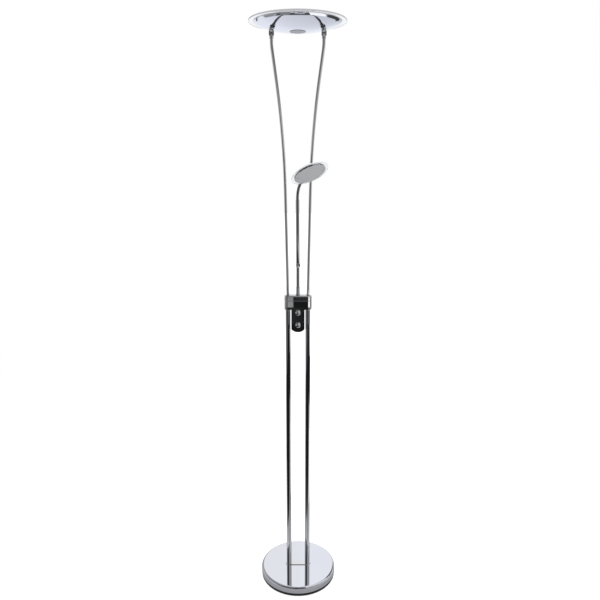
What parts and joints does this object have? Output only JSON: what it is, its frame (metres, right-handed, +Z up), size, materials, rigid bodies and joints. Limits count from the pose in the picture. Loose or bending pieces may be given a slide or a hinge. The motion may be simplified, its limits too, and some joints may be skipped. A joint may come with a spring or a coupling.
{
  "type": "floor lamp",
  "caption": "Tall chrome uplighter floor lamp: round base, twin tubes, dimmer, flared rods, a shallow tilting dish under a glass disc, and a reading light on a bendable neck.",
  "frame": {"origin": "centre of the base's underside, on the floor", "axes": "+Z up, front of the lamp (knobs and reading light) towards -Y, +X to the right seen from the front"},
  "size_m": [0.281, 0.281, 1.8],
  "materials": {
    "chrome": "mirror polished",
    "black_metal": "satin",
    "felt": "matt",
    "iron": "rough",
    "steel": "plain",
    "aluminium": "plain",
    "grey_metal": "satin",
    "rubber": "matt",
    "black_plastic": "matt",
    "circuit_board": "satin",
    "white_board": "satin",
    "led": "satin",
    "opal": "satin",
    "gasket": "matt",
    "brass": "plain",
    "glass": "clear"
  },
  "bodies": {
    "stand": {"felt_disc": "felt", "base_ring": "black_metal", "ring_screws": "steel", "base_weight": "iron", "base_cover": "chrome", "cable_inlet": "rubber", "foot_plate": "chrome", "stud_inserts": "steel", "tube_studs": "steel", "stud_washers": "steel", "stud_nuts": "steel", "lower_tube_left": "chrome", "lower_tube_right": "chrome", "rod_bushes": "steel", "collar_body": "chrome", "collar_cap": "chrome", "collar_screws": "steel", "housing_screws": "steel", "dimmer_housing": "chrome", "dimmer_back": "black_plastic", "back_screws": "steel", "dimmer_board": "circuit_board", "potentiometers": "steel", "pot_nuts": "steel", "upper_rod_left": "chrome", "upper_rod_right": "chrome", "rod_knuckle_left": "chrome", "rod_knuckle_right": "chrome", "arm_socket": "chrome", "socket_nut": "steel"},
    "uplight_head": {"head_lug_left": "chrome", "head_lug_right": "chrome", "tilt_pins": "steel", "head_nuts": "steel", "bowl": "chrome", "centre_cap": "grey_metal", "heat_plate": "aluminium", "led_board": "white_board", "led_chips": "led", "led_driver": "black_plastic", "diffuser": "opal", "rim_gasket": "gasket", "glass_disc": "glass"},
    "reading_post": {"reading_post": "chrome", "post_knuckle": "chrome"},
    "reading_arm": {"arm_knuckle": "chrome", "arm_pin": "steel", "reading_tube": "chrome", "reading_neck": "chrome"},
    "reading_head": {"neck_socket": "chrome", "reading_shell": "chrome", "reading_board": "white_board", "reading_chips": "led", "reading_glass": "glass", "face_plate": "grey_metal", "face_screws": "steel"},
    "upper_knob": {"upper_knob": "chrome", "upper_spindle": "brass"},
    "lower_knob": {"lower_knob": "chrome", "lower_spindle": "brass"}
  },
  "joints": [
    {"name": "head_tilt", "type": "hinge", "parent": "stand", "child": "uplight_head", "pos_m": [0, 0, 1.766], "axis": [1, 0, 0], "range_deg": [-35, 35]},
    {"name": "arm_swivel", "type": "hinge", "parent": "stand", "child": "reading_post", "pos_m": [0, 0, 1.01], "axis": [0, 0, 1], "range_deg": [-60, 10]},
    {"name": "arm_tilt", "type": "hinge", "parent": "reading_post", "child": "reading_arm", "pos_m": [0, 0, 1.096], "axis": [1, -0.0003, 0.0052], "range_deg": [0, 75]},
    {"name": "neck_bend", "type": "hinge", "parent": "reading_arm", "child": "reading_head", "pos_m": [0.00204, -0.01845, 1.33042], "axis": [0.8829, 0.4686, 0.0292], "range_deg": [-25, 25], "deforming": ["reading_neck"]},
    {"name": "upper_knob_turn", "type": "hinge", "parent": "stand", "child": "upper_knob", "pos_m": [0, -0.018, 0.946], "axis": [0, 1, 0], "range_deg": [0, 300]},
    {"name": "lower_knob_turn", "type": "hinge", "parent": "stand", "child": "lower_knob", "pos_m": [0, -0.018, 0.906], "axis": [0, 1, 0], "range_deg": [0, 300]}
  ]
}
